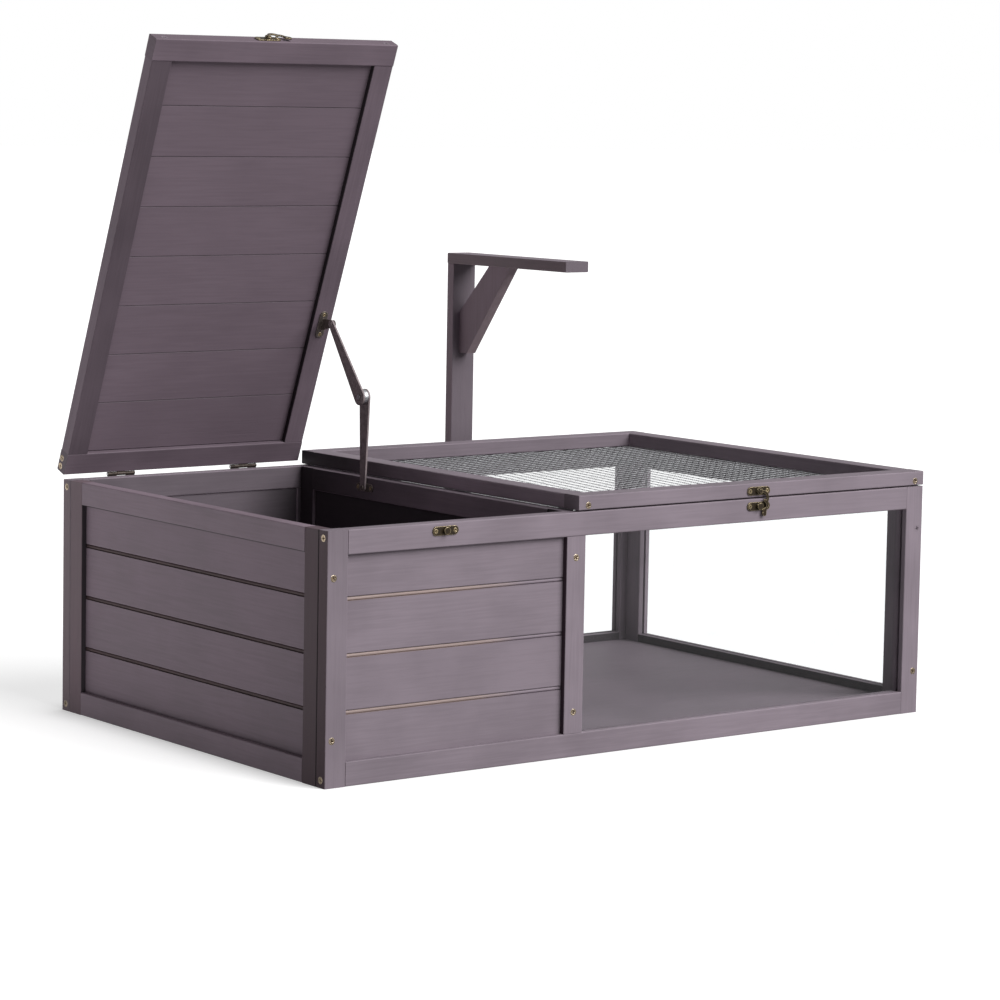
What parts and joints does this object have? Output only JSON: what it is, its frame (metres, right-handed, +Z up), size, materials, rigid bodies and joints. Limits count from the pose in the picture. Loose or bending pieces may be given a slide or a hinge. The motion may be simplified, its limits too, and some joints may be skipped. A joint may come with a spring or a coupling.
{
  "type": "tortoise house",
  "caption": "Wooden tortoise house with a boarded hide under a stay-propped lid, a windowed run under a mesh lid, and a lamp stand behind it.",
  "frame": {"origin": "on the ground in the middle of the four walls, at the underside of the middle floor bearer", "axes": "+X to the right along the front wall, +Y to the back, +Z up"},
  "size_m": [0.94, 0.6399, 0.8671],
  "materials": {
    "paint": "satin mauve-grey paint on softwood",
    "floor": "painted board",
    "window": "clear",
    "mesh": "zinc-plated wire",
    "brass": "antique",
    "stay": "dark metal",
    "steel": "bright"
  },
  "bodies": {
    "house": {"back_boards": "paint", "back_bottom_rail": "paint", "back_left_stile": "paint", "back_middle_post": "paint", "back_right_stile": "paint", "back_top_rail": "paint", "back_window": "window", "floor_bearers": "paint", "floor_panel": "floor", "front_boards": "paint", "front_bottom_rail": "paint", "front_left_stile": "paint", "front_middle_post": "paint", "front_right_stile": "paint", "front_top_rail": "paint", "front_window": "window", "hinge_fixed_leaves": "brass", "hinge_pins": "steel", "house_screws": "brass", "house_trim_screws": "brass", "lamp_arm": "paint", "lamp_brace": "paint", "lamp_post": "paint", "lamp_spacers": "paint", "latch_strikes": "brass", "left_boards": "paint", "left_bottom_rail": "paint", "left_stiles": "paint", "left_top_rail": "paint", "partition_boards": "paint", "partition_door_posts": "paint", "partition_lintel": "paint", "partition_stiles": "paint", "partition_top_rail": "paint", "right_bottom_rail": "paint", "right_stiles": "paint", "right_top_rail": "paint", "right_window": "window", "stay_foot_plate": "stay"},
    "hide_lid": {"hide_lid_front_rail": "paint", "hide_lid_back_rail": "paint", "hide_lid_side_rails": "paint", "hide_lid_boards": "paint", "hide_lid_hinge_leaves": "brass", "hide_lid_screws": "brass", "hide_latch_plate": "brass", "stay_head_bracket": "stay"},
    "mesh_lid": {"mesh_lid_front_rail": "paint", "mesh_lid_back_rail": "paint", "mesh_lid_side_rails": "paint", "wire_mesh": "mesh", "mesh_lid_hinge_leaves": "brass", "mesh_lid_screws": "brass", "mesh_latch_plate": "brass"},
    "hide_hook": {"hide_latch_hook": "brass"},
    "mesh_hook": {"mesh_latch_hook": "brass"},
    "stay_lower": {"stay_lower_arm": "stay", "stay_knuckle": "steel"},
    "stay_upper": {"stay_upper_arm": "stay"}
  },
  "joints": [
    {"name": "hide_lid_hinge", "type": "hinge", "parent": "house", "child": "hide_lid", "pos_m": [-0.29, 0.299, 0.3008], "axis": [-1, 0, 0], "range_deg": [-68.6, 0]},
    {"name": "mesh_lid_hinge", "type": "hinge", "parent": "house", "child": "mesh_lid", "pos_m": [0.183, 0.299, 0.3008], "axis": [-1, 0, 0], "range_deg": [0, 44]},
    {"name": "stay_lower_pivot", "type": "hinge", "parent": "house", "child": "stay_lower", "pos_m": [-0.119, 0.1312, 0.2847], "axis": [-1, 0, 0], "range_deg": [-171.3, 0]},
    {"name": "stay_knuckle_pivot", "type": "hinge", "parent": "stay_lower", "child": "stay_upper", "pos_m": [-0.127, 0.12957, 0.40309], "axis": [-1, 0, 0], "range_deg": [0, 118.5]},
    {"name": "hide_hook_pivot", "type": "hinge", "parent": "hide_lid", "child": "hide_hook", "pos_m": [-0.304, 0.08643, 0.86214], "axis": [0, -0.3649, 0.9311], "range_deg": [-90, 0]},
    {"name": "mesh_hook_pivot", "type": "hinge", "parent": "mesh_lid", "child": "mesh_hook", "pos_m": [0.183, -0.3012, 0.3077], "axis": [0, -1, 0], "range_deg": [-20, 70]}
  ],
  "couplings": [
    {"joint": "stay_lower_pivot", "follows": "hide_lid_hinge", "ratio": 2.4904},
    {"joint": "stay_knuckle_pivot", "follows": "hide_lid_hinge", "ratio": -1.7197}
  ]
}
